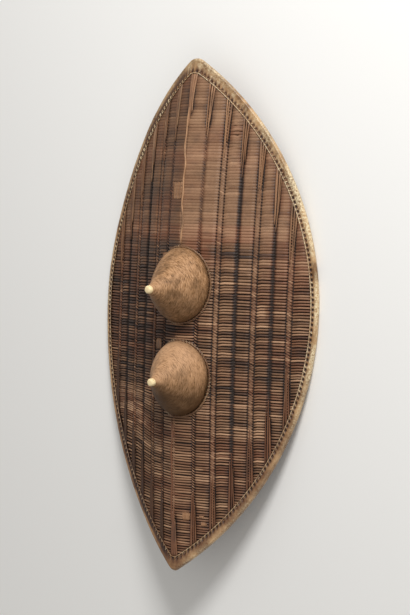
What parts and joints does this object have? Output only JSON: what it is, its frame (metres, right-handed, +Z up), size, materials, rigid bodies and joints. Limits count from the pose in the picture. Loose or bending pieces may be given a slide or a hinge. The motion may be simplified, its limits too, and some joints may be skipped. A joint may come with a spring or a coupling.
{
  "type": "wicker shield",
  "caption": "Pointed-oval wicker war shield with a keel, hide-bound edge and conical bosses, lying front up.",
  "frame": {"origin": "on the surface that the shield lies on, under the middle of its length and width", "axes": "+Z up, out of the shield's front; +Y along the keel from the bottom point to the top point; +X towards the shield's right half, seen from the front with the top point up"},
  "size_m": [0.5612, 1.05, 0.2092],
  "materials": {
    "woven_cane": "dark smoked cane, dry",
    "split_reed": "split reed, satin",
    "rawhide": "worn rawhide, satin",
    "hide_thong": "twisted hide, matt",
    "boss_hide": "dried hide, fibrous",
    "pale_tip": "peeled pale wood, rubbed",
    "grip_wood": "hand-worn wood"
  },
  "bodies": {
    "root": {"woven_panel": "woven_cane", "hide_binding": "rawhide", "front_thong": "hide_thong", "back_thong": "hide_thong", "top_keel_stake_end": "split_reed", "top_right_stake_end_1": "split_reed", "top_left_stake_end_1": "split_reed", "top_right_stake_end_2": "split_reed", "top_left_stake_end_2": "split_reed", "top_right_stake_end_3": "split_reed", "top_left_stake_end_3": "split_reed", "top_right_stake_end_4": "split_reed", "top_left_stake_end_4": "split_reed", "top_right_stake_end_5": "split_reed", "top_left_stake_end_5": "split_reed", "top_right_stake_end_6": "split_reed", "top_left_stake_end_6": "split_reed", "bottom_keel_stake_end": "split_reed", "bottom_right_stake_end_1": "split_reed", "bottom_left_stake_end_1": "split_reed", "bottom_right_stake_end_2": "split_reed", "bottom_left_stake_end_2": "split_reed", "bottom_right_stake_end_3": "split_reed", "bottom_left_stake_end_3": "split_reed", "bottom_right_stake_end_4": "split_reed", "bottom_left_stake_end_4": "split_reed", "bottom_right_stake_end_5": "split_reed", "bottom_left_stake_end_5": "split_reed", "bottom_right_stake_end_6": "split_reed", "bottom_left_stake_end_6": "split_reed", "upper_boss": "boss_hide", "upper_boss_tip": "pale_tip", "lower_boss": "boss_hide", "lower_boss_tip": "pale_tip", "hand_grip": "grip_wood", "upper_grip_lashing": "hide_thong", "lower_grip_lashing": "hide_thong"}
  },
  "joints": []
}
